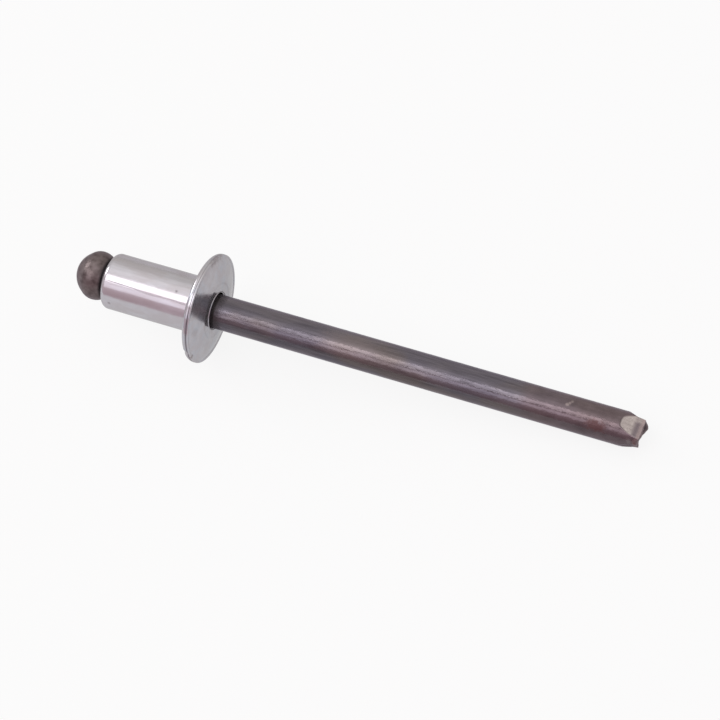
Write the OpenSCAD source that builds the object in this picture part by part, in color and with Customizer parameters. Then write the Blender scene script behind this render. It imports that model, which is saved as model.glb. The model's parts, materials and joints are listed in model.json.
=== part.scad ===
// Unset blind rivet: a soft metal body with a domed flange, and a steel pull mandrel through its bore.
// Each piece is drawn along its own axis, with the stem of the mandrel pointing upwards.
// The rivet then lies as it comes to rest, on the rim of its flange and on the cropped end of its stem.

/* [Sleeve] */
// Outside diameter of the sleeve
body_d = 3.2; // [3:0.05:4.8]
// Length of the sleeve, from its blind end to the underside of the flange
body_len = 5.81; // [3:0.01:12]
// Rounding of the sleeve's edge at the blind end
end_round = 0.35; // [0.1:0.01:0.4]
// Gap between the stem and the bore, on the radius
bore_clear = 0.06; // [0.03:0.01:0.1]
// Edge break at both ends of the bore
bore_break = 0.04; // [0.02:0.01:0.06]

/* [Flange] */
// Diameter of the flange
flange_d = 6.25; // [5.4:0.05:8]
// Height of the flange at the flat land round its hole
flange_h = 0.77; // [0.6:0.01:1.3]
// Diameter of the flat land round the hole
land_d = 3.16; // [2.6:0.02:3.8]
// Thickness of the rim
rim_h = 0.44; // [0.4:0.01:0.5]
// Rounding of the rim at the underside
rim_back_round = 0.24; // [0.1:0.01:0.3]
// Rounding of the rim at the domed side
rim_front_round = 0.08; // [0.05:0.01:0.1]
// Distance from the edge of the flange to the crease where the dome starts
crease_inset = 0.16; // [0.12:0.01:0.3]
// Depth of the crease below the front of the rim
crease_depth = 0.02; // [0.01:0.01:0.08]

/* [Mandrel head] */
// Diameter of the head
head_d = 2.78; // [2.5:0.02:3]
// Length of the head, from its seat on the sleeve to its nose
head_len = 2; // [1.96:0.01:2.6]
// Distance from the seat to the widest ring of the head
head_widest = 0.8; // [0.5:0.01:0.85]
// Rounding of the head in front of its widest ring
shoulder_round = 0.82; // [0.5:0.01:0.9]
// Rounding of the head behind its widest ring
back_round = 1.03; // [0.86:0.01:1.2]
// Slope of the head's flank, from the axis
flank_angle = 38; // [34:1:42]
// Width of the ring that seats on the sleeve, outside the bore
seat_land = 0.1; // [0.07:0.01:0.12]

/* [Mandrel stem] */
// Diameter of the stem
stem_d = 1.95; // [1.7:0.01:2]
// Length of the stem, from the seat to where the crop starts
stem_len = 30.7; // [24:0.02:40]
// Diameter of the break neck inside the sleeve
neck_d = 1.4; // [1:0.05:1.6]
// Width of the break neck's groove
neck_w = 0.5; // [0.3:0.05:0.8]
// Distance from the seat to the middle of the break neck
neck_at = 1.1; // [0.8:0.05:2]

/* [Cropped end] */
// Angle between the two flats of each notched jaw's bite
jaw_spread = 72; // [60:1:90]
// Slope of the first part of each cropped face, from the axis
entry_angle = 18.5; // [14:0.5:22]
// Length of that first part
entry_len = 0.62; // [0.4:0.01:0.8]
// Slope of the rest of each cropped face, from the axis
land_angle = 6; // [2:0.5:10]
// Length by which the second face of each bite starts later than the first
bite_delay = 0.13; // [0.05:0.01:0.2]
// Length of the cropped end, up to the bottom of the break
crop_len = 1.01; // [0.8:0.01:1.4]
// Height of the torn lip above the bottom of the break
break_rise = 0.2; // [0.1:0.01:0.4]
// Slant of the break along its lip
break_lean = 6; // [0:1:10]

/* [Hidden] */
$fn = 96;

body_r = body_d / 2;
flange_r = flange_d / 2;
land_r = land_d / 2;
head_r = head_d / 2;
stem_r = stem_d / 2;
neck_r = neck_d / 2;
bore_r = stem_r + bore_clear;
seat_r = bore_r + seat_land;

// How far every cutting shape runs past what it cuts
overrun = stem_d;

// The middle of the rim's front rounding, as a radius and a height
rim_mid = [flange_r - rim_front_round, rim_h - rim_front_round];

// The dome is part of a ball with its middle on the axis, through the crease and the edge of the land
crease_r = flange_r - crease_inset;
crease_h = rim_h - crease_depth;
dome_mid = (land_r ^ 2 + flange_h ^ 2 - crease_r ^ 2 - crease_h ^ 2) / (2 * (flange_h - crease_h));
dome_r = norm([land_r, flange_h - dome_mid]);

// The flank of the head leaves the shoulder at a tangent, and runs at a tangent into the round nose
shoulder_mid_r = head_r - shoulder_round;
flank_start_r = shoulder_mid_r + shoulder_round * cos(flank_angle);
flank_start = head_widest + shoulder_round * sin(flank_angle);
flank_offset = flank_start_r * cos(flank_angle) + flank_start * sin(flank_angle);
nose_mid = (head_len - flank_offset) / (1 - sin(flank_angle));
nose_round = head_len - nose_mid;

// A pair of notched jaws crops four faces, and the end then tears off
crop_start = stem_len - body_len;
entry_depth = entry_len * tan(entry_angle);
// Turns of the four faces about the axis, from the one that lies downwards, and where each one starts
crop_turns = [0, 180 - jaw_spread, 180, 360 - jaw_spread];
crop_delays = [0, bite_delay, 0, bite_delay];
// Turn of the torn lip about the axis, from the face that lies downwards
break_turn = 113;
// Places across the break, from one side to the other, in radii of the stem
break_place_shares = [-1.4, -0.77, -0.53, -0.26, 0.1, 0.34, 0.67, 1.4];
// Heights of the break at those places, in parts of its rise
break_height_shares = [0.2, 0.2, 0, 0.45, 0.75, 1, 0.6, 0.5];

// The rivet tips until the rim of its flange and the start of the crop touch the surface that it lies on
rest_run = crop_start - rim_mid.y;
rest_drop = rim_mid.x - stem_r;
tilt = atan2(rest_drop, rest_run) + asin(rim_front_round / norm([rest_run, rest_drop]));
axis_h = crop_start * sin(tilt) + stem_r * cos(tilt);

// The middle of the lying rivet's length, between its nose and its torn lip
nose_x = -(body_len + nose_mid) * cos(tilt) - nose_round;
lip_out = stem_r - entry_depth - (crop_len + break_rise - entry_len) * tan(land_angle);
lip_len = crop_len + break_rise + lip_out * tan(break_lean);
tip_x = (crop_start + lip_len) * cos(tilt) + lip_out * sin(tilt);
mid_x = (nose_x + tip_x) / 2;

module lying() {
    translate([-mid_x, 0, axis_h]) rotate([0, 90 + tilt, 0]) children();
}

// Half sections have the radius across and the axis upwards

module sleeve_section() {
    polygon([
        [0, -body_len],
        [body_r - end_round, -body_len],
        [body_r, end_round - body_len],
        [body_r, 0],
        [0, 0]
    ]);
    translate([body_r - end_round, end_round - body_len]) circle(end_round);
}

module rim_section() {
    polygon([
        [0, 0],
        [flange_r - rim_back_round, 0],
        [flange_r, rim_back_round],
        [flange_r, rim_mid.y],
        [rim_mid.x, rim_h],
        [crease_r, crease_h],
        [0, crease_h]
    ]);
    translate([flange_r - rim_back_round, rim_back_round]) circle(rim_back_round);
    translate(rim_mid) circle(rim_front_round);
}

module dome_section() {
    intersection() {
        translate([0, dome_mid]) circle(dome_r);
        translate([0, crease_h]) square([crease_r, flange_h - crease_h]);
    }
}

module bore_section() {
    mouth_r = bore_r + bore_break + overrun;
    polygon([
        [0, -body_len - overrun],
        [mouth_r, -body_len - overrun],
        [bore_r, bore_break - body_len],
        [bore_r, flange_h - bore_break],
        [mouth_r, flange_h + overrun],
        [0, flange_h + overrun]
    ]);
}

// Zero is the underside of the flange
module rivet_body() {
    color("silver") lying() rotate_extrude() {
        difference() {
            union() {
                sleeve_section();
                rim_section();
                dome_section();
            }
            bore_section();
        }
    }
}

// Zero is the seat, and the nose points upwards
module head_section() {
    square([seat_r, head_widest]);
    intersection() {
        translate([head_r - back_round, head_widest]) circle(back_round);
        square([head_r, head_widest]);
    }
    intersection() {
        union() {
            translate([shoulder_mid_r, head_widest]) circle(shoulder_round);
            polygon([
                [0, head_widest],
                [shoulder_mid_r, head_widest],
                [flank_start_r, flank_start],
                [nose_round * cos(flank_angle), nose_mid + nose_round * sin(flank_angle)],
                [0, nose_mid]
            ]);
            translate([0, nose_mid]) circle(nose_round);
        }
        translate([0, head_widest]) square([head_r, head_len - head_widest]);
    }
}

// Zero is the seat, and the stem points upwards
module stem_section() {
    stem_top = stem_len + crop_len + overrun;
    polygon([
        [0, 0],
        [stem_r, 0],
        [stem_r, neck_at - neck_w / 2],
        [neck_r, neck_at],
        [stem_r, neck_at + neck_w / 2],
        [stem_r, stem_top],
        [0, stem_top]
    ]);
}

// What one flat of a jaw takes off, with the radius across and the axis upwards from where the crop starts
module bite_section() {
    cut_top = crop_len + 2 * overrun;
    cut_out = stem_r + 2 * overrun;
    polygon([
        [stem_r + overrun * tan(entry_angle), -overrun],
        [stem_r - entry_depth, entry_len],
        [stem_r - entry_depth - (cut_top - entry_len) * tan(land_angle), cut_top],
        [cut_out, cut_top],
        [cut_out, -overrun]
    ]);
}

module crop_cuts() {
    for (i = [0:len(crop_turns) - 1])
        rotate([0, 0, crop_turns[i]])
            translate([0, 0, stem_len + crop_delays[i]])
                rotate([90, 0, 0])
                    linear_extrude(height = 2 * overrun, center = true) bite_section();
}

// What tears off, above a lip and a notch that run across the stem
module break_cut() {
    last = len(break_place_shares) - 1;
    cut_top = break_rise + 2 * overrun;
    edge = [for (i = [0:last]) [stem_r * break_place_shares[i], break_rise * break_height_shares[i]]];
    translate([0, 0, stem_len + crop_len])
        rotate([0, 0, break_turn])
            rotate([90 + break_lean, 0, 0])
                linear_extrude(height = 2 * overrun, center = true)
                    polygon([each edge, [edge[last].x, cut_top], [edge[0].x, cut_top]]);
}

module mandrel() {
    color("dimgray") lying() translate([0, 0, -body_len]) {
        difference() {
            rotate_extrude() {
                mirror([0, 1]) head_section();
                stem_section();
            }
            crop_cuts();
            break_cut();
        }
    }
}

rivet_body();
mandrel();
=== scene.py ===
# %% [markdown]
# # An unset blind rivet
#
# This lesson dresses a small rivet of two pieces: a bright aluminium body with a thin domed flange, and a
# dark steel mandrel that a tool will later pull through it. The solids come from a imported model, which gives
# the sizes and the places. Here we give both pieces a fine mesh, so that polished metal reflects smoothly,
# and then a finish.

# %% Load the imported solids
import json
import math

import bpy
import numpy as np
from mathutils import Matrix, Vector, noise


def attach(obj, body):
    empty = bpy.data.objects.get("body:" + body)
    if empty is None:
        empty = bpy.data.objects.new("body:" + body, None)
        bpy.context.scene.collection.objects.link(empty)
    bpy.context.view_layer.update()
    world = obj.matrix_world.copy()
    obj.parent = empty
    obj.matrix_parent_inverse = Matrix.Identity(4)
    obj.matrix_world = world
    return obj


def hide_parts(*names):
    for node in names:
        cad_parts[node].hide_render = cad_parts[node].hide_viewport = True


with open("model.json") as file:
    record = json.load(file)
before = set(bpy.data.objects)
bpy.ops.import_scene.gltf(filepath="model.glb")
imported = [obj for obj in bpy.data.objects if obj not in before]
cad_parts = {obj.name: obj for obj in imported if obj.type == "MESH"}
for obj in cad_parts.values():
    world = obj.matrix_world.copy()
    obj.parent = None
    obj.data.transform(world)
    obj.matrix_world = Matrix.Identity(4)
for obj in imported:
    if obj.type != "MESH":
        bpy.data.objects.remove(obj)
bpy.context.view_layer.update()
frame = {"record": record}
MM = 0.001


# %% [markdown]
# ## The rivet's own axis
#
# Both pieces were turned or headed about one line, so it pays to think in turned measures: how far along the
# line, how far out from it, and at which angle around it. The line could be measured on the meshes, but the
# record's mounts give it exactly. The rivet lies on the rim of its flange and on the end of its stem, so the
# line dips a little. Angle 0 points down to the table, 90 points along +Y, and zero along the line is the
# underside of the flange.

# %% Read the axis and the two main radii from the mounts
mounts = {m["name"]: m for m in frame["record"]["mounts"]}
axis = Vector(mounts["pull_stem"]["axis"]).normalized()
side = Vector((0, 1, 0))
down = side.cross(axis)
seat = Vector(mounts["flange_underside"]["pos_m"])
seat.y = 0
sleeve_r = mounts["sleeve_shank"]["dims"]["r_mm"]
stem_r = mounts["pull_stem"]["dims"]["r_mm"]
print("axis dips", round(math.degrees(math.asin(-axis.z)), 3), "degrees; radii", sleeve_r, stem_r)

# %% [markdown]
# ## The camera
#
# A small thing is photographed from well back with a long lens, so that nothing looks stretched. The camera's
# place could be found by trial and error. It is steadier to state what the picture shows: the angle between
# the rivet's axis and the line of sight, which side of the rivet faces us, how steeply the axis falls across
# the frame, the pixel where the underside of the flange is centred, and how many pixels a millimetre takes.
# Three unit vectors then turn the camera.

# %% Directions that the picture shows
view_to_axis = math.radians(72.4)
near_angle = math.radians(203.0)
fall_in_frame = math.radians(16.12)

near = math.cos(near_angle) * down + math.sin(near_angle) * side
to_camera = math.cos(view_to_axis) * axis + math.sin(view_to_axis) * near
seen_axis = (axis - axis.dot(to_camera) * to_camera).normalized()
seen_across = to_camera.cross(seen_axis)
frame_right = math.cos(fall_in_frame) * seen_axis + math.sin(fall_in_frame) * seen_across
frame_up = math.cos(fall_in_frame) * seen_across - math.sin(fall_in_frame) * seen_axis
elevation = math.degrees(math.asin(to_camera.z))
print("the camera looks down", round(elevation, 1), "degrees")

# %% Place the camera
PHOTO_SIDE = 720
PHOTO_SEAT = (204.30, 306.95)
PIXELS_PER_MM = 17.958
FOCAL_PIXELS = 3986.0
SENSOR_MM = 36.0
NEAREST_SHARE = 0.05
FARTHEST_SHARE = 50

shift_right = (PHOTO_SIDE / 2 - PHOTO_SEAT[0]) / PIXELS_PER_MM * MM
shift_up = (PHOTO_SEAT[1] - PHOTO_SIDE / 2) / PIXELS_PER_MM * MM
distance = FOCAL_PIXELS / PIXELS_PER_MM * MM
camera_data = bpy.data.cameras.new("product_camera")
camera_data.sensor_width = SENSOR_MM
camera_data.lens = FOCAL_PIXELS / PHOTO_SIDE * SENSOR_MM
camera_data.clip_start = distance * NEAREST_SHARE
camera_data.clip_end = distance * FARTHEST_SHARE
camera = bpy.data.objects.new("product_camera", camera_data)
bpy.context.collection.objects.link(camera)
camera_turn = Matrix((frame_right, frame_up, to_camera)).transposed().to_4x4()
camera_place = seat + shift_right * frame_right + shift_up * frame_up + distance * to_camera
camera.matrix_world = Matrix.Translation(camera_place) @ camera_turn
bpy.context.scene.camera = camera
bpy.context.scene.view_settings.view_transform = "Standard"
print("lens", round(camera_data.lens, 1), "mm, at", round(distance, 3), "m")

# %% [markdown]
# ## Sky, lamps and table
#
# Bright metal has hardly any colour of its own: what we see on it is the room. So the room is made with care,
# yet stays plain. The sky is a soft tent that grows lighter upwards and is a little rosier on the camera's
# side. A picture of a real studio could light the metal too, but a few levels on a ramp are easier to change.

# %% Small helpers for shader nodes
def add_node(tree, kind, **settings):
    """A new shader node with its properties, or its sockets' values, set by name."""
    made = tree.nodes.new(kind)
    for name, value in settings.items():
        if hasattr(made, name):
            setattr(made, name, value)
        else:
            made.inputs[name.replace("_", " ")].default_value = value
    return made


def set_ramp(ramp, stops):
    """Gives a colour ramp its stops, each a place and a grey level or a colour."""
    band = ramp.color_ramp
    while len(band.elements) < len(stops):
        band.elements.new(0.5)
    for stop, (place, level) in zip(band.elements, stops):
        colour = (level,) * 3 if isinstance(level, (int, float)) else level
        stop.position = place
        stop.color = (*colour, 1)


def ramp_of(tree, value, stops):
    """The colour that a ramp gives to a value."""
    ramp = add_node(tree, "ShaderNodeValToRGB")
    set_ramp(ramp, stops)
    tree.links.new(value, ramp.inputs[0])
    return ramp.outputs[0]


print("shader helpers ready")

# %% Sky of a light tent
SKY_TILT = (0.0, 0.2, 0.98)
SKY_LEVELS = [(0.0, 0.63), (0.2, 0.70), (0.45, 0.76), (0.7, 0.80), (0.9, 1.10), (1.0, 1.50)]
SKY_TINTS = [
    (0.0, (1.0, 0.74, 0.80)),
    (0.3, (1.0, 0.86, 0.90)),
    (0.5, (1.0, 0.98, 0.985)),
    (1.0, (1.0, 0.97, 0.915)),
]
world = bpy.data.worlds.new("tent_sky")
bpy.context.scene.world = world
world.use_nodes = True
sky = world.node_tree
sky.nodes.clear()
look = add_node(sky, "ShaderNodeTexCoord")
height = add_node(sky, "ShaderNodeVectorMath", operation="DOT_PRODUCT")
height.inputs[1].default_value = SKY_TILT
split = add_node(sky, "ShaderNodeSeparateXYZ")
# From -1 to 1 across the sky becomes 0 to 1 on the ramp of tints
sideways = add_node(sky, "ShaderNodeMath", operation="MULTIPLY_ADD")
sideways.inputs[1].default_value = 0.5
sideways.inputs[2].default_value = 0.5
tinted = add_node(sky, "ShaderNodeVectorMath", operation="MULTIPLY")
glow = add_node(sky, "ShaderNodeBackground")
sky_out = add_node(sky, "ShaderNodeOutputWorld")
sky.links.new(look.outputs["Generated"], height.inputs[0])
sky.links.new(look.outputs["Generated"], split.inputs[0])
sky.links.new(split.outputs["Y"], sideways.inputs[0])
sky.links.new(ramp_of(sky, height.outputs["Value"], SKY_LEVELS), tinted.inputs[0])
sky.links.new(ramp_of(sky, sideways.outputs[0], SKY_TINTS), tinted.inputs[1])
sky.links.new(tinted.outputs[0], glow.inputs["Color"])
sky.links.new(glow.outputs[0], sky_out.inputs[0])
print("sky with", len(SKY_LEVELS), "levels and", len(SKY_TINTS), "tints")

# %% [markdown]
# Three soft panels hang in the tent: one overhead, one lower on the camera's side, and a small one beyond the
# head. The first two draw the bright lines along the metal. A panel could be moved about by hand until its
# line sits right. Here it is placed by its roll, the angle from straight up towards -Y, and by its lean
# towards the head end, because the roll decides where round a bar the line falls, and the lean whether we
# see it.

# %% Soft panels
LAMP_DISTANCE = 0.40


def add_panel(name, roll, lean, wide, long, level, colour=(1, 1, 1)):
    """A soft panel that faces the rivet: place and size as angles in degrees, level as radiance."""
    roll, lean = math.radians(roll), math.radians(lean)
    across = Vector((0, -math.sin(roll), math.cos(roll)))
    aim = math.cos(lean) * across + Vector((-math.sin(lean), 0, 0))
    panel = bpy.data.lights.new(name, "AREA")
    panel.shape = "RECTANGLE"
    panel.size = 2 * LAMP_DISTANCE * math.tan(math.radians(long) / 2)
    panel.size_y = 2 * LAMP_DISTANCE * math.tan(math.radians(wide) / 2)
    panel.energy = level * math.pi * panel.size * panel.size_y
    panel.color = colour
    long_way = Vector((math.cos(lean), 0, 0)) + math.sin(lean) * across
    turn = Matrix((long_way, aim.cross(long_way), aim)).transposed().to_4x4()
    lamp = bpy.data.objects.new(name, panel)
    lamp.matrix_world = Matrix.Translation(LAMP_DISTANCE * aim) @ turn
    bpy.context.collection.objects.link(lamp)
    print(name, "of", round(panel.size, 3), "by", round(panel.size_y, 3), "m,", round(panel.energy, 3), "W")


add_panel("overhead_panel", roll=16.6, lean=17, wide=21.8, long=42, level=2.15)
add_panel("near_panel", roll=45, lean=17, wide=18, long=42, level=0.80, colour=(0.95, 1.0, 1.06))
add_panel("head_end_panel", roll=-21, lean=57, wide=20, long=22, level=5.0)

# %% [markdown]
# The table is white paper. A plain white floor would come out grey and uneven. So to the camera and to
# mirrors part of it glows, and it reads as white, while the rest is diffuse paper that takes the rivet's soft
# shadow. Mirrors see less of the glow, because the underside of the metal would otherwise look lit from
# below. The glow that they see lies on the camera's side: past the rivet it fades out, so the far flank of
# the metal mirrors darker paper.

# %% Paper table
TABLE_SIZE = 4.0
half = TABLE_SIZE / 2
table_corners = [(-half, -half, 0), (half, -half, 0), (half, half, 0), (-half, half, 0)]
table_mesh = bpy.data.meshes.new("paper_table")
table_mesh.from_pydata(table_corners, [], [(0, 1, 2, 3)])
table = bpy.data.objects.new("paper_table", table_mesh)
bpy.context.collection.objects.link(table)
print("table of", TABLE_SIZE, "m")

# %% White paper: where it glows
SEEN_GLOW = 0.88
MIRRORED_GLOW = 0.75
FAR_GLOW = 0.0
POOL_EDGE = (-0.001, 0.012)
paper = bpy.data.materials.new("white_paper")
paper.use_nodes = True
tree = paper.node_tree
tree.nodes.clear()
rays = add_node(tree, "ShaderNodeLightPath")
where = add_node(tree, "ShaderNodeNewGeometry")
where_split = add_node(tree, "ShaderNodeSeparateXYZ")
pool = add_node(
    tree,
    "ShaderNodeMapRange",
    interpolation_type="SMOOTHSTEP",
    From_Min=POOL_EDGE[0],
    From_Max=POOL_EDGE[1],
    To_Min=MIRRORED_GLOW,
    To_Max=FAR_GLOW,
)
mirrored = add_node(tree, "ShaderNodeMath", operation="MAXIMUM")
mirrored_share = add_node(tree, "ShaderNodeMath", operation="MULTIPLY")
share = add_node(tree, "ShaderNodeMath", operation="MULTIPLY_ADD")
share.inputs[1].default_value = SEEN_GLOW
tree.links.new(where.outputs["Position"], where_split.inputs[0])
tree.links.new(where_split.outputs["Y"], pool.inputs["Value"])
tree.links.new(rays.outputs["Is Glossy Ray"], mirrored.inputs[0])
tree.links.new(rays.outputs["Is Transmission Ray"], mirrored.inputs[1])
tree.links.new(mirrored.outputs[0], mirrored_share.inputs[0])
tree.links.new(pool.outputs["Result"], mirrored_share.inputs[1])
tree.links.new(rays.outputs["Is Camera Ray"], share.inputs[0])
tree.links.new(mirrored_share.outputs[0], share.inputs[2])
print("the paper glows", SEEN_GLOW, "to the camera and", MIRRORED_GLOW, "to mirrors")

# %% White paper: plain and glowing together
PAPER_COLOUR = (0.6, 0.6, 0.6, 1)
flat = add_node(tree, "ShaderNodeBsdfDiffuse", Color=PAPER_COLOUR)
white = add_node(tree, "ShaderNodeEmission", Color=(1, 1, 1, 1), Strength=1.0)
mix = add_node(tree, "ShaderNodeMixShader")
paper_out = add_node(tree, "ShaderNodeOutputMaterial")
tree.links.new(share.outputs[0], mix.inputs[0])
tree.links.new(flat.outputs[0], mix.inputs[1])
tree.links.new(white.outputs[0], mix.inputs[2])
tree.links.new(mix.outputs[0], paper_out.inputs[0])
table_mesh.materials.append(paper)
print("finish:", paper.name)

# %% [markdown]
# ## A skin of turned measures
#
# A lathe modifier would spin one outline, but it can't crop four faces on the end of a stem. So one helper
# takes two tables, how far along and how far out for every row and angle, and lays a skin of four sided faces
# over them. It also stores each corner's turned place as an attribute, in millimetres, so that finishes can
# run along the metal, and any marks that a finish should know about.

# %% Helpers: stretches of an outline
SAME_PLACE = 1e-6


def arc(mid_along, mid_out, radius, start, end, steps):
    """Places along and out on a round stretch, with angles in degrees from the axis."""
    turns = np.radians(np.linspace(start, end, steps + 1))
    return [(mid_along + radius * math.cos(t), mid_out + radius * math.sin(t)) for t in turns]


def line(start, end, steps):
    """Places on a straight stretch, both ends included."""
    return [tuple(p) for p in np.linspace(start, end, steps + 1)]


def join_stretches(*stretches):
    """One outline from stretches that share their end places."""
    outline = []
    for stretch in stretches:
        outline += [p for p in stretch if not outline or math.dist(p, outline[-1]) > SAME_PLACE]
    return outline


print("outline helpers ready")

# %% Helpers: smooth steps, bumps and noise
def ease(value, start, end):
    """A smooth step from 0 at the start to 1 at the end."""
    t = np.clip((value - start) / (end - start), 0, 1)
    return t * t * (3 - 2 * t)


def bump(value, middle, wide):
    """A bell that is 1 at its middle and fades to both sides."""
    return np.exp(-(((value - middle) / wide) ** 2))


def waver(along, turns, reach, along_scale, across_scale, seed):
    """Smooth noise from -1 to 1 over a turned surface, with its own fineness along and across."""
    first = reach * np.cos(turns) * across_scale
    second = reach * np.sin(turns) * across_scale + seed
    places = np.stack(np.broadcast_arrays(along * along_scale, first, second), -1)
    return np.array([noise.noise(p) for p in places.reshape(-1, 3)]).reshape(places.shape[:-1])


print("shape helpers ready")

# %% Helper: lay the skin
SHARP_EDGE = math.radians(32)


def lay_skin(name, along, out, turns, ring=False, marks=None, lean=None):
    """A closed mesh over rows of turned measures: a ring of rows, or rows between two poles."""
    rows, columns = along.shape
    local = np.stack([along, out * np.cos(turns), out * np.sin(turns)], -1).reshape(-1, 3)
    index = np.arange(rows * columns).reshape(rows, columns)
    steps = rows if ring else rows - 1
    upper, lower = index[np.arange(steps)], index[(np.arange(steps) + 1) % rows]
    corners = [upper, lower, np.roll(lower, -1, 1), np.roll(upper, -1, 1)]
    faces = np.stack(corners, -1).reshape(-1, 4).tolist()
    if not ring:
        poles = [(along[0].mean(), 0.0, 0.0), (along[-1].mean(), 0.0, 0.0)]
        first, last = len(local), len(local) + 1
        local = np.vstack([local, poles])
        faces += [(first, a, b) for a, b in zip(index[0], np.roll(index[0], -1))]
        faces += [(last, b, a) for a, b in zip(index[-1], np.roll(index[-1], -1))]
    if lean:
        away = np.interp(local[:, 0], lean["places"], lean["sizes"])
        local[:, 1] += away * math.cos(lean["turn"])
        local[:, 2] += away * math.sin(lean["turn"])
    places = np.array(seat) + MM * local @ np.array([axis, down, side])
    mesh = bpy.data.meshes.new(name)
    mesh.from_pydata(places.tolist(), [], faces)
    mesh.attributes.new("turned", "FLOAT_VECTOR", "POINT").data.foreach_set("vector", local.ravel())
    for mark, values in (marks or {}).items():
        flat_values = np.append(values.ravel(), [] if ring else [values[0].mean(), values[-1].mean()])
        mesh.attributes.new(mark, "FLOAT", "POINT").data.foreach_set("value", flat_values)
    mesh.shade_smooth()
    mesh.set_sharp_from_angle(angle=SHARP_EDGE)
    mesh.update()
    piece = bpy.data.objects.new(name, mesh)
    bpy.context.collection.objects.link(piece)
    print(name, "has", len(mesh.vertices), "corners and", len(mesh.polygons), "faces")
    return piece


print("skin helper ready")

# %% [markdown]
# ## The aluminium body
#
# The body is cold headed from soft wire: a sleeve with a rounded blind end, and a thin flange whose rim keeps
# a fine line where the dies closed. A raised burr stands round the hole. It could be built from a tube and a
# disc, but then the joint between them would show. One outline round its half section gives it all, the bore
# included, so the mesh is closed and smooth.

# %% Sizes of the body, in millimetres
sleeve_len = 5.81
end_round = 0.35
bore_clearance = 0.06
bore_break = 0.04
burr_wide = 0.055
burr_high = 0.04
flange_r = 3.125
flange_h = 0.77
land_r = 1.58
rim_h = 0.44
rim_back = 0.24
rim_front = 0.08
die_line = 0.31
die_line_wide = 0.05
die_line_deep = 0.02
crease_in = 0.16
crease_low = 0.02

bore_r = stem_r + bore_clearance
hole_edge = bore_r + bore_break
crease_r = flange_r - crease_in
crease_h = rim_h - crease_low
dome_mid = (land_r**2 + flange_h**2 - crease_r**2 - crease_h**2) / (2 * (flange_h - crease_h))
dome_r = math.hypot(land_r, flange_h - dome_mid)
edge_angle = math.degrees(math.atan2(crease_r, crease_h - dome_mid))
land_angle = math.degrees(math.atan2(land_r, flange_h - dome_mid))
print("the dome's radius is", round(dome_r, 2), "mm")

# %% Outline of the body
BURR_STEPS = 8
burr_turns = [math.pi * k / BURR_STEPS for k in range(BURR_STEPS + 1)]
burr_shares = [1 - k / BURR_STEPS for k in range(BURR_STEPS + 1)]
burr_stretch = [
    (flange_h + burr_high * math.sin(turn), hole_edge + burr_wide * share)
    for turn, share in zip(burr_turns, burr_shares)
]
body_outline = join_stretches(
    line((-sleeve_len, hole_edge), (-sleeve_len, sleeve_r - end_round), 4),
    arc(end_round - sleeve_len, sleeve_r - end_round, end_round, 180, 90, 14),
    line((end_round - sleeve_len, sleeve_r), (0, sleeve_r), 120),
    line((0, sleeve_r), (0, flange_r - rim_back), 8),
    arc(rim_back, flange_r - rim_back, rim_back, 180, 90, 14),
    line((rim_back, flange_r), (die_line - die_line_wide / 2, flange_r), 2),
    line((die_line - die_line_wide / 2, flange_r), (die_line, flange_r - die_line_deep), 2),
    line((die_line, flange_r - die_line_deep), (die_line + die_line_wide / 2, flange_r), 2),
    line((die_line + die_line_wide / 2, flange_r), (rim_h - rim_front, flange_r), 1),
    arc(rim_h - rim_front, flange_r - rim_front, rim_front, 90, 0, 10),
    line((rim_h, flange_r - rim_front), (crease_h, crease_r), 2),
    arc(dome_mid, 0, dome_r, edge_angle, land_angle, 32),
    line((flange_h, land_r), (flange_h, hole_edge + burr_wide), 8),
    burr_stretch,
    arc(flange_h - bore_break, hole_edge, bore_break, 0, -90, 4),
    line((flange_h - bore_break, bore_r), (bore_break - sleeve_len, bore_r), 10),
    line((bore_break - sleeve_len, bore_r), (-sleeve_len, hole_edge), 2),
)[:-1]
print("body outline has", len(body_outline), "places")

# %% Rows and angles of the body
EVEN_STEP = 1.25
FINE_STEP = 0.25
FINE_SPAN = (203.0, 213.0)
even = np.arange(0.0, 360.0, EVEN_STEP)
fine = np.arange(*FINE_SPAN, FINE_STEP)
body_turns = np.radians(np.unique(np.concatenate([even, fine])))
body_along = np.repeat([[p[0]] for p in body_outline], len(body_turns), 1)
body_out = np.repeat([[p[1]] for p in body_outline], len(body_turns), 1)
outside = body_out > bore_r + 2 * bore_break
on_wall = outside & (body_along < 0)
print("body grid of", body_along.shape[0], "rows and", body_along.shape[1], "angles")

# %% [markdown]
# A perfect tube would show dead straight reflections. Real ones waver, so the sleeve gets ripples of a few
# thousandths of a millimetre. It also carries a jagged line that the forming die drew along it, strongest
# towards the blind end, and two small pits. All of these could be painted, but then they would stay behind
# when the light moves. So they are pressed into the rows of the outline before the skin is laid, and the line
# and the pits are handed on as marks as well, because dirt settles in them.

# %% Drawn line on the sleeve
LINE_DEEP = 0.004
LINE_WIDE = 0.022
LINE_WANDER = math.radians(0.6)
LINE_START = (-5.6, -5.2)
LINE_STRONG = 1.2
LINE_LOSS = 0.35
LINE_LOSS_SPAN = (-4.4, -3.4)
LINE_BASE = 0.65
LINE_BREAKS = 0.5
drawn_places = [-5.5, -4.2, -3.5, -3.0, -2.1, -1.2, -0.7]
drawn_angles = [205.6, 206.8, 208.3, 209.9, 209.4, 208.9, 210.0]
drawn_turn = np.radians(np.interp(body_along, drawn_places, drawn_angles))
drawn_turn += LINE_WANDER * waver(body_along, 0, 0, along_scale=2.2, across_scale=1.0, seed=4.0)
drawn_fade = LINE_STRONG - LINE_LOSS * ease(body_along, *LINE_LOSS_SPAN)
drawn_fade *= ease(body_along, *LINE_START)
drawn_fade *= LINE_BASE + LINE_BREAKS * waver(body_along, 0, 0, along_scale=1.4, across_scale=1.0, seed=9.0)
line_mark = np.where(on_wall, drawn_fade * bump(sleeve_r * body_turns, sleeve_r * drawn_turn, LINE_WIDE), 0.0)
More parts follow.
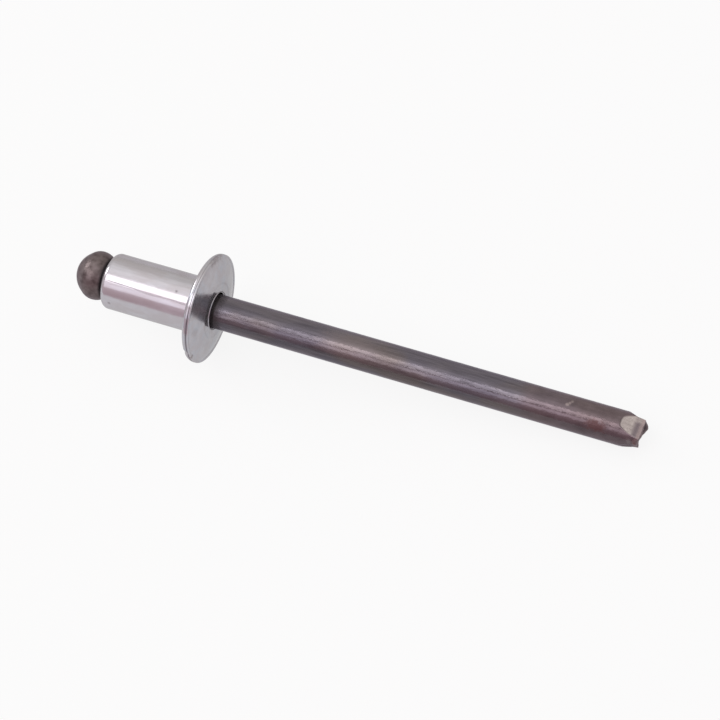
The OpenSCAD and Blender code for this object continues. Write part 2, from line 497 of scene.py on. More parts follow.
print("drawn line up to", round(LINE_DEEP * line_mark.max(), 4), "mm deep")

# %% Pits and ripples of the sleeve
RIPPLE = 0.0035
RIPPLE_FADE = (0.0, 0.15)
PIT_DEEP = 0.012
# Each pit: how far along, its angle and its size
PITS = [(-1.285, 188.3, 0.06), (-5.15, 255.4, 0.07)]
pit_mark = np.zeros_like(body_along)
for pit_along, pit_angle, pit_size in PITS:
    off_pit = np.hypot(body_along - pit_along, sleeve_r * (body_turns - math.radians(pit_angle)))
    pit_mark = np.maximum(pit_mark, np.where(on_wall, bump(off_pit, 0, pit_size), 0.0))
wall = np.where(on_wall, ease(-body_along, *RIPPLE_FADE), 0.0)
body_out -= LINE_DEEP * line_mark + PIT_DEEP * pit_mark
ripples = waver(body_along, body_turns, sleeve_r, along_scale=0.4, across_scale=1.6, seed=0.0)
body_out += RIPPLE * wall * ripples
print("pressed in:", len(PITS), "pits and ripples of", RIPPLE, "mm")

# %% [markdown]
# The rim has been knocked about. It has a dent, its thin flange is bent forwards a little on one side, and
# dirt shows in two stretches of the fine line that runs round it. A sculpting brush could do this by hand.
# Smooth steps around the rim do the same and can be changed later.

# %% Rim: dirt line, dent and bend
RIM_SPAN = (2.6, 3.0)
RIM_DIRT_BASE = 0.15
# Each dirty stretch: its angle, how dirty it is, and the cosines where it starts and is full
RIM_DIRT = [(250, 0.85, 0.70, 0.85), (115, 0.4, 0.8, 0.95)]
DENT_ANGLE = 266.0
DENT_WIDE = 3.2
DENT_DEEP = 0.08
BEND_ANGLE = 293.0
BEND_SIZE = 0.06
BEND_OUT = 2.2
on_rim = ease(body_out, *RIM_SPAN)
rim_dirt = RIM_DIRT_BASE
for dirt_angle, dirt_share, dirt_start, dirt_full in RIM_DIRT:
    facing_dirt = np.cos(body_turns - math.radians(dirt_angle))
    rim_dirt = rim_dirt + dirt_share * ease(facing_dirt, dirt_start, dirt_full)
rim_line = on_rim * bump(body_along, die_line, die_line_wide) * rim_dirt
rim_dent = bump(body_turns, math.radians(DENT_ANGLE), math.radians(DENT_WIDE))
body_out -= DENT_DEEP * rim_dent * on_rim * ease(-body_along, -rim_h + rim_front, -die_line)
bent = np.maximum(np.cos(body_turns - math.radians(BEND_ANGLE)), 0) ** 2 * (body_out / flange_r) ** 2
body_along += BEND_SIZE * bent * ease(body_out, sleeve_r, BEND_OUT) * outside
print("rim: a dent of", DENT_DEEP, "mm, a bend of", BEND_SIZE, "mm and", len(RIM_DIRT), "dirty stretches")

# %% Skin of the body
FACE_DEPTH = 0.1
LAND_LINE_WIDE = 0.05
LAND_LINE_SOIL = 0.2
BURR_SOIL = 0.95
PIT_SOIL = 0.8
RIM_SOIL = 0.95
on_face = np.where(outside, ease(body_along, rim_h, flange_h - FACE_DEPTH), 0.0)
land_patchy = waver(body_along, body_turns, 2.0, along_scale=0.5, across_scale=1.0, seed=3.0)
land_line = on_face * bump(body_out, land_r, LAND_LINE_WIDE) * (LAND_LINE_SOIL + LAND_LINE_SOIL * land_patchy)
on_burr = np.where(body_along > flange_h + burr_high / 2, BURR_SOIL, 0.0)
soil_mark = np.clip(on_burr + line_mark + PIT_SOIL * pit_mark + RIM_SOIL * rim_line + land_line, 0, 1)
body_marks = {"soil": soil_mark}
rivet_body = lay_skin("rivet_body_skin", body_along, body_out, body_turns, ring=True, marks=body_marks)
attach(rivet_body, "root")
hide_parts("rivet_body")

# %% [markdown]
# ## Bright drawn aluminium
#
# The finish is clean metal with a light haze: a metallic surface of middling grey, since headed aluminium
# returns only part of the light. A picture of metal could be wrapped round it, but noise on the turned places
# has no seam. Fine lines from the die run along the sleeve, so the noise that varies the gloss is stretched
# along the axis. Faint blotches of thinner and thicker skin lie over it, with warmer stains. The flange was
# headed and not drawn, and its skin drifts between a cooler and a warmer grey.

# %% Helpers: patterns on turned places
def metal_finish(name):
    """A material with a shader, an output and the turned places to hang patterns on."""
    finish = bpy.data.materials.new(name)
    finish.use_nodes = True
    nodes = finish.node_tree
    nodes.nodes.clear()
    shader = add_node(nodes, "ShaderNodeBsdfPrincipled")
    result = add_node(nodes, "ShaderNodeOutputMaterial")
    turned = add_node(nodes, "ShaderNodeAttribute", attribute_name="turned")
    nodes.links.new(shader.outputs[0], result.inputs[0])
    return finish, nodes, shader, turned.outputs["Vector"]


def parts_of(nodes, vector):
    """The three parts of a turned place, each as a socket."""
    parts = add_node(nodes, "ShaderNodeSeparateXYZ")
    nodes.links.new(vector, parts.inputs[0])
    return parts.outputs


def noise_along(nodes, turned, along_scale, across_scale, detail=3.0):
    """Noise on the turned places, with its own fineness along the axis and across it."""
    stretch = add_node(nodes, "ShaderNodeMapping")
    stretch.inputs["Scale"].default_value = (along_scale, across_scale, across_scale)
    grain = add_node(nodes, "ShaderNodeTexNoise", Scale=1.0, Detail=detail)
    nodes.links.new(turned, stretch.inputs["Vector"])
    nodes.links.new(stretch.outputs[0], grain.inputs["Vector"])
    return grain.outputs[0]


def mark_of(nodes, name):
    """A mark that was stored with the skin."""
    return add_node(nodes, "ShaderNodeAttribute", attribute_name=name).outputs["Fac"]


print("pattern helpers ready")

# %% Helpers: mixing
def mix_colours(nodes, share, first, second):
    """A colour between two, where each may be a socket or a written colour."""
    blend = add_node(nodes, "ShaderNodeMix", data_type="RGBA")
    nodes.links.new(share, blend.inputs[0])
    for socket, colour in ((blend.inputs[6], first), (blend.inputs[7], second)):
        if isinstance(colour, tuple):
            socket.default_value = (*colour, 1)
        else:
            nodes.links.new(colour, socket)
    return blend.outputs[2]


def part_of(nodes, value, share):
    """The given share of a value."""
    made = add_node(nodes, "ShaderNodeMath", operation="MULTIPLY", use_clamp=True)
    made.inputs[1].default_value = share
    nodes.links.new(value, made.inputs[0])
    return made.outputs[0]


def either(nodes, first, second):
    """The larger of two values."""
    made = add_node(nodes, "ShaderNodeMath", operation="MAXIMUM", use_clamp=True)
    nodes.links.new(first, made.inputs[0])
    nodes.links.new(second, made.inputs[1])
    return made.outputs[0]


print("mixing helpers ready")

# %% Skin of drawn and headed aluminium
STREAK_COLOURS = [(0.3, (0.485, 0.475, 0.51)), (0.7, (0.548, 0.537, 0.575))]
HAZE_SHARES = [(0.35, 0.0), (0.7, 0.5)]
HAZE_COLOUR = (0.457, 0.442, 0.47)
# By how far along: the sleeve keeps its own skin, and the flange takes its tarnish
FLANGE_SHARES = [(0.0, 0.0), (0.1, 0.6)]
TARNISH_COLOURS = [(0.38, (0.425, 0.445, 0.495)), (0.62, (0.515, 0.505, 0.53))]
STAIN_SHARES = [(0.40, 0.0), (0.60, 0.8)]
STAIN_COLOUR = (0.462, 0.436, 0.458)
aluminium, nodes, shader, turned = metal_finish("bright_drawn_aluminium")
shader.inputs["Metallic"].default_value = 0.87
shader.inputs["Specular Tint"].default_value = (0.78, 0.78, 0.78, 1)
streaks = noise_along(nodes, turned, along_scale=0.25, across_scale=7.0)
blotches = noise_along(nodes, turned, along_scale=1.0, across_scale=1.0, detail=5.0)
tarnish = noise_along(nodes, turned, along_scale=1.0, across_scale=1.1)
stains = noise_along(nodes, turned, along_scale=0.8, across_scale=2.2, detail=4.0)
skin = ramp_of(nodes, streaks, STREAK_COLOURS)
skin = mix_colours(nodes, ramp_of(nodes, blotches, HAZE_SHARES), skin, HAZE_COLOUR)
on_flange = ramp_of(nodes, parts_of(nodes, turned)[0], FLANGE_SHARES)
skin = mix_colours(nodes, on_flange, skin, ramp_of(nodes, tarnish, TARNISH_COLOURS))
skin = mix_colours(nodes, ramp_of(nodes, stains, STAIN_SHARES), skin, STAIN_COLOUR)
print("aluminium has", len(nodes.nodes), "nodes so far")

# %% [markdown]
# Handling left a few smudges on the flange: a streak along the upper rim, a dark speck low on the rim and a
# faint cloud on the face. Painting them by hand would need an image. Here each local mark is an ellipsoid in
# turned places: a value that falls from 1 at its middle to 0 at its edge, made ragged by noise.

# %% Helpers: local marks
PATCH_FULL = 0.35
PATCH_FRAY = 5.0


def patch(nodes, turned, middle, size, ragged):
    """A value from 1 at the middle of an ellipsoid to 0 outside it, with a ragged edge."""
    shift = add_node(nodes, "ShaderNodeVectorMath", operation="SUBTRACT")
    shift.inputs[1].default_value = middle
    shrink = add_node(nodes, "ShaderNodeVectorMath", operation="DIVIDE")
    shrink.inputs[1].default_value = size
    reach = add_node(nodes, "ShaderNodeVectorMath", operation="LENGTH")
    frayed = add_node(nodes, "ShaderNodeMath", operation="MULTIPLY_ADD")
    frayed.inputs[1].default_value = ragged
    fade = add_node(nodes, "ShaderNodeMapRange", interpolation_type="SMOOTHSTEP")
    fade.inputs["From Min"].default_value = 1.0 + ragged / 2
    fade.inputs["From Max"].default_value = PATCH_FULL + ragged / 2
    nodes.links.new(turned, shift.inputs[0])
    nodes.links.new(shift.outputs[0], shrink.inputs[0])
    nodes.links.new(shrink.outputs[0], reach.inputs[0])
    nodes.links.new(noise_along(nodes, turned, PATCH_FRAY, PATCH_FRAY, detail=4.0), frayed.inputs[0])
    nodes.links.new(reach.outputs["Value"], frayed.inputs[2])
    nodes.links.new(frayed.outputs[0], fade.inputs["Value"])
    return fade.outputs["Result"]


def place_at(along, angle, out=stem_r):
    """The turned place this far along, at an angle in degrees: on the stem, or this far out."""
    return along, out * math.cos(math.radians(angle)), out * math.sin(math.radians(angle))


print("local marks ready")

# %% Smudges, soil and gloss of the body
# Each smudge: how far along, its angle, how far out, its size and how dark it is
SMUDGES = [
    (0.43, 130, 3.03, 0.22, 0.40),
    (0.43, 137, 3.02, 0.26, 0.45),
    (0.43, 144, 3.00, 0.28, 0.50),
    (0.43, 151, 3.00, 0.24, 0.40),
    (0.43, 273, 3.02, 0.19, 0.80),
    (0.58, 241, 2.45, 0.36, 0.22),
    (0.60, 250, 2.45, 0.30, 0.12),
]
SMUDGE_RAGGED = 0.7
SMUDGE_COLOUR = (0.22, 0.18, 0.18)
SOIL_COLOUR = (0.16, 0.14, 0.16)
BODY_ROUGHNESS = [(0.3, 0.14), (0.7, 0.23)]
for smudge_along, smudge_angle, smudge_out, smudge_size, smudge_dark in SMUDGES:
    smudge_place = place_at(smudge_along, smudge_angle, smudge_out)
    smudge = patch(nodes, turned, smudge_place, (smudge_size,) * 3, SMUDGE_RAGGED)
    skin = mix_colours(nodes, part_of(nodes, smudge, smudge_dark), skin, SMUDGE_COLOUR)
skin = mix_colours(nodes, mark_of(nodes, "soil"), skin, SOIL_COLOUR)
nodes.links.new(skin, shader.inputs["Base Color"])
nodes.links.new(ramp_of(nodes, streaks, BODY_ROUGHNESS), shader.inputs["Roughness"])
rivet_body.data.materials.append(aluminium)
print("finish:", aluminium.name, "with", len(SMUDGES), "smudges")

# %% [markdown]
# ## The steel mandrel
#
# The mandrel is one piece of drawn wire. Its bulb head is cold formed, its stem is plain, and its end was
# cropped by notched jaws: four flat faces lean in, steeply at first, and the last of the metal tore off and
# left a lip and a hollow. Boolean cuts could crop a cylinder, but they leave long thin faces that shade
# badly. Rows of turned measures can follow all of it, because every cross section is still whole about the
# axis.

# %% Sizes of the mandrel, in millimetres
head_r = 1.39
head_len = 2.00
head_widest = 0.8
shoulder_round = 0.82
back_round = 1.03
flank_angle = 38.0
seat_ring = 0.1
neck_r = 0.7
neck_w = 0.5
neck_at = 1.1
stem_len = 30.70
NOSE_START = 1.5

seat_r = bore_r + seat_ring
flank = math.radians(flank_angle)
shoulder_mid = head_r - shoulder_round
flank_along = head_widest + shoulder_round * math.sin(flank)
flank_out = shoulder_mid + shoulder_round * math.cos(flank)
flank_offset = flank_out * math.cos(flank) + flank_along * math.sin(flank)
nose_mid = (head_len - flank_offset) / (1 - math.sin(flank))
nose_round = head_len - nose_mid
nose_end = (nose_mid + nose_round * math.sin(flank), nose_round * math.cos(flank))
collar_turn = math.degrees(math.acos((seat_r - head_r + back_round) / back_round))
collar = head_widest - back_round * math.sin(math.radians(collar_turn))
print("the nose's radius is", round(nose_round, 2), "mm")

# %% Outline of the head and the stem
def from_seat(stretch):
    """A stretch measured towards the nose from the seat, turned to the rivet's own measure."""
    return [(-sleeve_len - a, r) for a, r in stretch]


head_stretches = [
    arc(nose_mid, 0, nose_round, NOSE_START, 90 - flank_angle, 36),
    line(nose_end, (flank_along, flank_out), 4),
    arc(head_widest, shoulder_mid, shoulder_round, 90 - flank_angle, 90, 22),
    arc(head_widest, head_r - back_round, back_round, 90, 90 + collar_turn, 22),
    line((collar, seat_r), (0, seat_r), 3),
    line((0, seat_r), (0, stem_r), 2),
]
stem_stretches = [
    line((0, stem_r), (neck_w / 2 - neck_at, stem_r), 2),
    line((neck_w / 2 - neck_at, stem_r), (-neck_at, neck_r), 3),
    line((-neck_at, neck_r), (-neck_w / 2 - neck_at, stem_r), 3),
    line((-neck_w / 2 - neck_at, stem_r), (-stem_len, stem_r), 150),
]
mandrel_outline = join_stretches(*[from_seat(s) for s in head_stretches + stem_stretches])
print("mandrel outline has", len(mandrel_outline), "places")

# %% Cropped faces
STEM_COLUMNS = 224
LEAST_FACING = 0.2
crop_start = stem_len - sleeve_len
# A bite: places along the face, and how deep the jaw went there
plain_bite = ([0, 0.62, 2.0], [0, 0.207, 0.352])
top_bite = ([0, 0.07, 0.3, 0.62, 1.2, 2.0], [0, 0.055, 0.115, 0.19, 0.275, 0.36])
# Each face: its angle, how much later than the first it starts, and its bite
crop_faces = [(0, 0.0, plain_bite), (108, 0.15, plain_bite), (180, 0.0, top_bite), (288, 0.12, plain_bite)]
stem_turns = np.linspace(0, 2 * math.pi, STEM_COLUMNS, endpoint=False)


def cropped_out(along):
    """How far out the stem reaches at each angle, with its four cropped faces."""
    reach = np.full(STEM_COLUMNS, stem_r)
    for face_angle, delay, bite in crop_faces:
        depth = np.interp(along - crop_start - delay, *bite)
        facing = np.maximum(np.cos(stem_turns - math.radians(face_angle)), LEAST_FACING)
        reach = np.minimum(reach, (stem_r - depth) / facing)
    return reach


print("the stem has", len(crop_faces), "cropped faces")

# %% [markdown]
# The torn end is a small landscape. Across it, in radii of the stem, the far side carries a lip and the near
# side a straight ridge, with a hollow between them. It could be sculpted, but numbers are easier to change.
# So two short tables give the heights of both sides above the start of the crop, in millimetres, and a fine
# grain is laid over them, because steel tears in crystals.

# %% Heights of the torn end
across_turn = near_angle - math.pi / 2
far_places = [-0.82, -0.67, -0.41, -0.1, 0.1, 0.34, 0.46, 0.67]
far_heights = [1.02, 1.01, 0.91, 1.01, 1.08, 1.18, 1.17, 1.02]
near_places = [-0.82, -0.53, -0.26, 0.64]
near_heights = [1.10, 1.08, 1.24, 1.25]
NEAR_BLEND = (-0.5, 0.6)
HOLLOW_DEEP = 0.14
# The hollow's middle and its width, both ways
HOLLOW_TOWARDS = (-0.15, 0.3)
HOLLOW_ACROSS = (0.3, 0.35)
TORN_GRAIN = 0.03


def end_places(out):
    """Places on the end, in radii of the stem: towards the near side, and across it."""
    return out * np.cos(stem_turns - near_angle) / stem_r, out * np.cos(stem_turns - across_turn) / stem_r


def torn_height(out):
    """How far along the torn end lies, for places at each angle and this far out."""
    towards, across = end_places(out)
    far = np.interp(across, far_places, far_heights)
    close = np.interp(across, near_places, near_heights)
    hollow = HOLLOW_DEEP * bump(towards, *HOLLOW_TOWARDS) * bump(across, *HOLLOW_ACROSS)
    grain = TORN_GRAIN * waver(out * 0, stem_turns, out, along_scale=1.0, across_scale=5.0, seed=2.0)
    return crop_start + far + (close - far) * ease(towards, *NEAR_BLEND) - hollow + grain


print("far lip up to", max(far_heights), "mm and near ridge up to", max(near_heights), "mm")

# %% Rows of the mandrel
CROP_ROWS = 56
TORN_ROWS = 34
TORN_CORE = 0.03
MEETING_ROUNDS = 20
crop_len = 1.01
# The faces and the torn end shape each other, so a few rounds settle where they meet
end_along = np.full(STEM_COLUMNS, crop_start + crop_len)
for _ in range(MEETING_ROUNDS):
    end_along = torn_height(cropped_out(end_along))
end_out = cropped_out(end_along)
crop_shares = np.linspace(0, 1, CROP_ROWS + 1)[1:]
torn_shares = np.linspace(1, TORN_CORE, TORN_ROWS + 1)[1:]
crop_alongs = [crop_start + (end_along - crop_start) * k for k in crop_shares]
crop_outs = [cropped_out(a) for a in crop_alongs]
torn_outs = [end_out * k for k in torn_shares]
torn_alongs = [torn_height(out) for out in torn_outs]
smooth_along = np.repeat([[p[0]] for p in mandrel_outline], STEM_COLUMNS, 1)
smooth_out = np.repeat([[p[1]] for p in mandrel_outline], STEM_COLUMNS, 1)
mandrel_along = np.vstack([smooth_along, *crop_alongs, *torn_alongs])
mandrel_out = np.vstack([smooth_out, *crop_outs, *torn_outs])
print("torn end runs from", round(end_along.min(), 2), "to", round(end_along.max(), 2), "mm")

# %% [markdown]
# Six marks tell the finish what happened to the metal: where the jaws laid the upper face bare, where they
# crushed the lower ones dull, where a darker grey band lies across the bare face, where the ridge was rubbed,
# where the steel tore, and where the tear is hollow and takes painted shade. They could be painted as images,
# but here every row already knows how it was made. The cold headed bulb isn't quite true, so it gets shallow
# dents first.

# %% Dents of the head, and where each row lies
HEAD_DENTS = 0.009
DENT_FADE = (0.1, 0.5)
head_waver = waver(mandrel_along, stem_turns, mandrel_out, along_scale=1.3, across_scale=1.3, seed=5.0)
head_dents = HEAD_DENTS * head_waver * ease(mandrel_out, *DENT_FADE)
mandrel_out += np.where(mandrel_along < -sleeve_len, head_dents, 0.0)
first_torn = len(mandrel_along) - TORN_ROWS
row_numbers = np.arange(len(mandrel_along))[:, None]
torn = row_numbers >= first_torn
cut_deep = np.where(row_numbers >= len(mandrel_outline), stem_r - mandrel_out, 0.0)
past = mandrel_along - crop_start
towards, across = end_places(mandrel_out)
print("head dents of", HEAD_DENTS, "mm; the torn end starts at row", first_torn, "of", len(mandrel_along))

# %% Marks of the cropped faces
UPPER_FACE = (0.5, 0.75)
BITE_SHOWS = (0.01, 0.04)
DARK_BAND_BASE = 0.55
DARK_BAND_CORE = 0.45
DARK_BAND_SPAN = (0.56, 0.84)
DARK_BAND_DARKEST = (0.93, 0.16)
DARK_BAND_END = (-0.8, -0.5)
DARK_BAND_FADE = (-0.62, -0.42)
DARK_BAND_FADE_SHARE = 0.4
RIDGE_SPAN = (-0.25, -0.1)
upper_face = ease(np.cos(stem_turns - math.pi), *UPPER_FACE)
bitten = ease(cut_deep, *BITE_SHOWS)
bare_mark = np.where(torn, 0.0, bitten * upper_face)
crushed_mark = np.where(torn, 0.0, bitten * (1 - upper_face))
# A darker grey band across the bare upper face, weaker towards one edge
groove = DARK_BAND_BASE + DARK_BAND_CORE * bump(past, *DARK_BAND_DARKEST) * ease(across, *DARK_BAND_END)
groove *= DARK_BAND_FADE_SHARE + (1 - DARK_BAND_FADE_SHARE) * ease(-across, *DARK_BAND_FADE)
groove *= ease(past, *DARK_BAND_SPAN)
groove_mark = np.where(torn, 0.0, groove * bare_mark)
ridge_mark = np.where(torn, 0.0, ease(past - (end_along - crop_start), *RIDGE_SPAN))
print("the jaws bit up to", round(cut_deep[:first_torn].max(), 3), "mm deep")

# %% [markdown]
# The mandrel is only held by friction, so it sits a little askew in its bore. A turn of the whole object
# would swing the end of the stem far out, so the skin helper pushes the rows aside instead: most at the nose,
# less through the sleeve, and past the flange a little the other way, by the same step all along.

# %% Marks of the torn end, and skin of the mandrel
TORN_EDGE_ROWS = (-1, 3)
HOLLOW_SHADE_TOWARDS = (-0.25, 0.4)
HOLLOW_SHADE_ACROSS = (0.32, 0.3)
LEAN_SIZES = [0.065, 0.04, -0.03]
torn_edge = [first_torn + rows for rows in TORN_EDGE_ROWS]
torn_mark = ease(np.repeat(row_numbers, STEM_COLUMNS, 1), *torn_edge)
# Painted shade: a near black patch laid in the hollow of the torn end
hollow_shade = bump(towards, *HOLLOW_SHADE_TOWARDS) * bump(across, *HOLLOW_SHADE_ACROSS)
hollow_shade_mark = np.where(torn, hollow_shade, 0.0)
mandrel_marks = {
    "bare": bare_mark,
    "crushed": crushed_mark,
    "groove": groove_mark,
    "ridge": ridge_mark,
    "torn": torn_mark,
    "hollow": hollow_shade_mark,
}
lean = {"places": [-sleeve_len - head_len, -sleeve_len, 0], "sizes": LEAN_SIZES, "turn": across_turn}
mandrel = lay_skin("mandrel_skin", mandrel_along, mandrel_out, stem_turns, marks=mandrel_marks, lean=lean)
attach(mandrel, "root")
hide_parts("mandrel")

# %% [markdown]
# ## Dark oxide on drawn wire
#
# Steel mandrels are phosphated or keep the dark skin of their heat treatment. It drifts slowly between brown
# and purple grey, and is rubbed paler in places, most of all along one stretch of the stem. One flat colour
# would look like paint. So two ramps, brown and purple, follow fine streaks along the wire, and slow noise
# chooses between them.

# %% Brown and purple skin
BROWN = [(0.3, (0.104, 0.086, 0.086)), (0.7, (0.160, 0.136, 0.136))]
PURPLE = [(0.3, (0.092, 0.083, 0.099)), (0.7, (0.142, 0.129, 0.152))]
DRIFT_SHARES = [(0.42, 0.0), (0.56, 1.0)]
RUBBED_SHARES = [(0.5, 0.0), (0.62, 0.25)]
RUBBED_COLOUR = (0.190, 0.166, 0.174)
HANDLED_SHARE = 0.55
HANDLED_COLOUR = (0.190, 0.158, 0.164)
oxide, nodes, shader, turned = metal_finish("dark_oxide_steel")
shader.inputs["Metallic"].default_value = 0.82
shader.inputs["Specular IOR Level"].default_value = 0.3
shader.inputs["Specular Tint"].default_value = (0.76, 0.73, 0.78, 1)
streaks = noise_along(nodes, turned, along_scale=0.6, across_scale=9.0)
drift = noise_along(nodes, turned, along_scale=0.2, across_scale=0.5, detail=2.0)
rubbed = noise_along(nodes, turned, along_scale=0.3, across_scale=0.8, detail=4.0)
handled = patch(nodes, turned, place_at(9.1, 195), size=(2.6, 1.1, 1.1), ragged=0.8)
brown = ramp_of(nodes, streaks, BROWN)
purple = ramp_of(nodes, streaks, PURPLE)
skin = mix_colours(nodes, ramp_of(nodes, drift, DRIFT_SHARES), brown, purple)
skin = mix_colours(nodes, ramp_of(nodes, rubbed, RUBBED_SHARES), skin, RUBBED_COLOUR)
skin = mix_colours(nodes, part_of(nodes, handled, HANDLED_SHARE), skin, HANDLED_COLOUR)
print("stem skin has", len(nodes.nodes), "nodes so far")

# %% [markdown]
# The head was forged, so its skin is blistered and browner. Towards the cropped end the skin turns redder.
# Separate materials would meet at a hard edge. So a value that runs from 0 at the nose to 1 at the start of
# the crop tells one finish where each stretch begins.

# %% Forged head and reddened end
HEAD_SHARES = [(0.06, 1.0), (0.065, 0.0)]
FORGED = [(0.32, (0.092, 0.071, 0.071)), (0.5, (0.144, 0.116, 0.116)), (0.7, (0.182, 0.149, 0.150))]
RED_SHARES = [(0.82, 0.0), (0.84, 0.6), (0.97, 0.85)]
REDDENED = [(0.3, (0.104, 0.076, 0.082)), (0.7, (0.158, 0.120, 0.129))]
lengthwise = add_node(nodes, "ShaderNodeMapRange", From_Min=-sleeve_len - head_len, From_Max=crop_start)
nodes.links.new(parts_of(nodes, turned)[0], lengthwise.inputs["Value"])
on_head = ramp_of(nodes, lengthwise.outputs[0], HEAD_SHARES)
blisters = noise_along(nodes, turned, along_scale=3.0, across_scale=3.0, detail=5.0)
mottle = noise_along(nodes, turned, along_scale=1.6, across_scale=2.4, detail=5.0)
skin = mix_colours(nodes, on_head, skin, ramp_of(nodes, blisters, FORGED))
reddened = ramp_of(nodes, mottle, REDDENED)
skin = mix_colours(nodes, ramp_of(nodes, lengthwise.outputs[0], RED_SHARES), skin, reddened)
print("head and reddened end painted")

# %% [markdown]
# A ramp over the angle around the axis makes the skin lighter or darker in stripes that run the whole length
# of the stem. These stripes are painted light: the lighter ones are painted highlights, and the darker ones
# are painted shade, one of them between the two bright lines. Stretched noise can't hold a line that long. Its
# stops were chosen by comparing the render with the photograph, which shows one side only. The places are
# first turned by half a turn, so that the seam of the angle lies underneath.

# %% Painted highlights and shade along the stem
# Each stop: an angle in degrees, and what the skin is multiplied by there; above 1 is a painted highlight,
# below 1 painted shade
LIGHT_AND_SHADE_STOPS = [
    (120, 1.0),
    (150, 1.2),
    (167, 1.03),
    (180, 0.78),
    (194, 1.10),
    (205, 0.82),
    (214, 1.34),
    (229, 1.0),
    (244, 0.76),
    (262, 0.90),
    (300, 1.0),
]
rolled = add_node(nodes, "ShaderNodeMapping", Rotation=(math.pi, 0, 0))
nodes.links.new(turned, rolled.inputs["Vector"])
rolled_parts = parts_of(nodes, rolled.outputs[0])
half_turns = add_node(nodes, "ShaderNodeMath", operation="ARCTAN2")
nodes.links.new(rolled_parts[2], half_turns.inputs[0])
nodes.links.new(rolled_parts[1], half_turns.inputs[1])
# From half a turn back to half a turn on becomes 0 to 1 on the ramp
part_turn = add_node(nodes, "ShaderNodeMath", operation="MULTIPLY_ADD")
part_turn.inputs[1].default_value = 1 / (2 * math.pi)
part_turn.inputs[2].default_value = 0.5
nodes.links.new(half_turns.outputs[0], part_turn.inputs[0])
painted_light_lines = ramp_of(nodes, part_turn.outputs[0], [(angle / 360, level) for angle, level in LIGHT_AND_SHADE_STOPS])
painted_light_lines = mix_colours(nodes, on_head, painted_light_lines, (1.0, 1.0, 1.0))
# The skin times the ramp: painted highlights and painted shade in stripes along the stem
painted_light_skin = add_node(nodes, "ShaderNodeVectorMath", operation="MULTIPLY")
nodes.links.new(skin, painted_light_skin.inputs[0])
nodes.links.new(painted_light_lines, painted_light_skin.inputs[1])
skin = painted_light_skin.outputs[0]
print("die lines from", len(LIGHT_AND_SHADE_STOPS), "stops")

# %% [markdown]
# At the cropped end the dark skin is gone. The stored marks say where the steel is bare, in the darker band,
# rubbed, torn or hollow, and each blends in its own colour, one over the other; in the hollow that colour is
# near black, as painted shade. Faces with materials of their own would show every border as a step. A fine
# grain varies the colours, because broken steel shows its crystals.

# %% Bare and torn steel
BARE_STEEL = [(0.3, (0.285, 0.249, 0.236)), (0.7, (0.40, 0.353, 0.337))]
TORN_STEEL = [(0.35, (0.16, 0.115, 0.115)), (0.65, (0.28, 0.22, 0.22))]
DARK_BAND_COLOUR = (0.145, 0.118, 0.127)
RIDGE_SHARE = 0.5
RIDGE_COLOUR = (0.27, 0.20, 0.20)
HOLLOW_SHADE_COLOUR = (0.028, 0.02, 0.028)
grain = noise_along(nodes, turned, along_scale=6.0, across_scale=6.0, detail=4.0)
skin = mix_colours(nodes, mark_of(nodes, "bare"), skin, ramp_of(nodes, grain, BARE_STEEL))
skin = mix_colours(nodes, mark_of(nodes, "groove"), skin, DARK_BAND_COLOUR)
skin = mix_colours(nodes, part_of(nodes, mark_of(nodes, "ridge"), RIDGE_SHARE), skin, RIDGE_COLOUR)
skin = mix_colours(nodes, mark_of(nodes, "torn"), skin, ramp_of(nodes, grain, TORN_STEEL))
# Painted shade in the hollow of the torn end
skin = mix_colours(nodes, mark_of(nodes, "hollow"), skin, HOLLOW_SHADE_COLOUR)
print("cropped end painted from", len(mandrel_marks), "marks")

# %% [markdown]
# Life left its own marks: a stain of rust near the cropped end and a speck of it on the tip, a pale bruise
# beside that, and a short slanting scratch on top. Where the stem leaves the flange, and where the head meets
# the sleeve, painted shade blackens the crevice, and for a stretch past the hole the stem is darker and
# duller.
# The local marks of the flange serve here too. The scratch is three of them in a row, and each band of painted
# shade and the darker stretch is one that reaches all round.

# %% Rust, bruise and scratch
RUST_SHARE = 0.62
RUST_COLOUR = (0.11, 0.045, 0.043)
TIP_RUST_SHARE = 0.8
BRUISE_SHARE = 0.45
BRUISE_COLOUR = (0.22, 0.19, 0.195)
# Each dab of the scratch: how far along, its angle and its length
SCRATCH_DABS = [(21.83, 180, 0.15), (21.93, 173, 0.13), (22.02, 165, 0.13)]
SCRATCH_WIDE = 0.14
SCRATCH_SHARE = 0.5
SCRATCH_COLOUR = (0.36, 0.30, 0.29)
rust = patch(nodes, turned, place_at(23.65, 223), size=(0.80, 0.42, 0.42), ragged=1.3)
tip_rust = patch(nodes, turned, place_at(26.0, 246, 0.9), size=(0.25, 0.3, 0.3), ragged=0.6)
rust = either(nodes, rust, part_of(nodes, tip_rust, TIP_RUST_SHARE))
bruise = patch(nodes, turned, place_at(25.58, 240, 0.93), size=(0.24, 0.26, 0.26), ragged=0.8)
dabs = [
    patch(nodes, turned, place_at(dab_along, dab_angle), (dab_long, SCRATCH_WIDE, SCRATCH_WIDE), ragged=0.8)
    for dab_along, dab_angle, dab_long in SCRATCH_DABS
]
scratch = dabs[0]
for dab in dabs[1:]:
    scratch = either(nodes, scratch, dab)
skin = mix_colours(nodes, part_of(nodes, rust, RUST_SHARE), skin, RUST_COLOUR)
skin = mix_colours(nodes, part_of(nodes, bruise, BRUISE_SHARE), skin, BRUISE_COLOUR)
skin = mix_colours(nodes, part_of(nodes, scratch, SCRATCH_SHARE), skin, SCRATCH_COLOUR)
print("rust, bruise and a scratch of", len(dabs), "dabs")

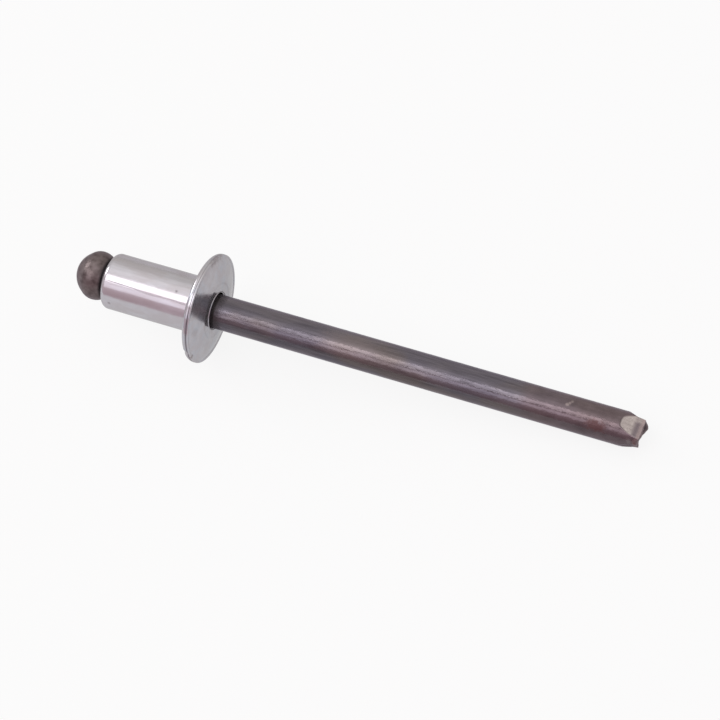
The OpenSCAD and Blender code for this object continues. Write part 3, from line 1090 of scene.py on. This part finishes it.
# %% Painted shade in the crevices, and a darker stretch past the hole
ALL_ROUND = 30.0
FLANGE_SHADE_PAST = 0.14
FLANGE_SHADE_LONG = 0.125
HEAD_SHADE_LONG = 0.30
CREVICE_SHADE_COLOUR = (0.012, 0.012, 0.013)
NEAR_FLANGE_LONG = 0.75
NEAR_FLANGE_SHARE = 0.55
NEAR_FLANGE_COLOUR = (0.05, 0.043, 0.043)


def all_round_mark(along, long, ragged):
    """A local mark that reaches all round the axis."""
    return patch(nodes, turned, (along, 0, 0), (long, ALL_ROUND, ALL_ROUND), ragged)


# Painted shade: black bands in the crevices where the stem leaves the flange and where the head meets the
# sleeve
flange_crevice_shade = all_round_mark(flange_h + FLANGE_SHADE_PAST, FLANGE_SHADE_LONG, ragged=0.25)
head_crevice_shade = all_round_mark(-sleeve_len, HEAD_SHADE_LONG, ragged=0.25)
# The stem is darker and duller for a stretch past the hole
near_flange = all_round_mark(flange_h, NEAR_FLANGE_LONG, ragged=0.5)
skin = mix_colours(nodes, either(nodes, flange_crevice_shade, head_crevice_shade), skin, CREVICE_SHADE_COLOUR)
skin = mix_colours(nodes, part_of(nodes, near_flange, NEAR_FLANGE_SHARE), skin, NEAR_FLANGE_COLOUR)
nodes.links.new(skin, shader.inputs["Base Color"])
print("oxide has", len(nodes.nodes), "nodes so far")

# %% [markdown]
# Gloss tells as much as colour. Drawn steel is speckled with glossy and dull spots, the rubbed and polished
# stretches are smooth, and the forged head, the stretch past the hole, rust, crushed faces and torn steel are
# dull. Fine pores break up the highlight. They are far too small for the mesh, so they are bump in the finish.

# %% Gloss and pores of the mandrel
STEM_ROUGHNESS = [(0.36, 0.09), (0.64, 0.34)]
POLISH_SHARES = [(0.45, 0.0), (0.6, 0.6)]
POLISHED = 0.1
FORGED_ROUGHNESS = 0.38
NEAR_FLANGE_DULL_SHARE = 0.5
NEAR_FLANGE_ROUGHNESS = 0.5
DULL_ROUGHNESS = 0.6
PORE_DEEP = 0.008
speckle = noise_along(nodes, turned, along_scale=2.2, across_scale=6.0)
polished = patch(nodes, turned, place_at(17.9, 205), size=(1.5, 0.45, 0.45), ragged=0.6)
polished = either(nodes, polished, ramp_of(nodes, rubbed, POLISH_SHARES))
dulled = either(nodes, either(nodes, mark_of(nodes, "torn"), mark_of(nodes, "crushed")), rust)
rough = ramp_of(nodes, speckle, STEM_ROUGHNESS)
rough = mix_colours(nodes, polished, rough, (POLISHED,) * 3)
rough = mix_colours(nodes, on_head, rough, (FORGED_ROUGHNESS,) * 3)
rough = mix_colours(nodes, part_of(nodes, near_flange, NEAR_FLANGE_DULL_SHARE), rough, (NEAR_FLANGE_ROUGHNESS,) * 3)
rough = mix_colours(nodes, dulled, rough, (DULL_ROUGHNESS,) * 3)
nodes.links.new(rough, shader.inputs["Roughness"])
pore_noise = noise_along(nodes, turned, along_scale=5.0, across_scale=11.0, detail=2.0)
pores = add_node(nodes, "ShaderNodeBump", Strength=1.0, Distance=PORE_DEEP * MM)
nodes.links.new(pore_noise, pores.inputs["Height"])
nodes.links.new(pores.outputs[0], shader.inputs["Normal"])
mandrel.data.materials.append(oxide)
print("finish:", oxide.name, "with", len(nodes.nodes), "nodes")
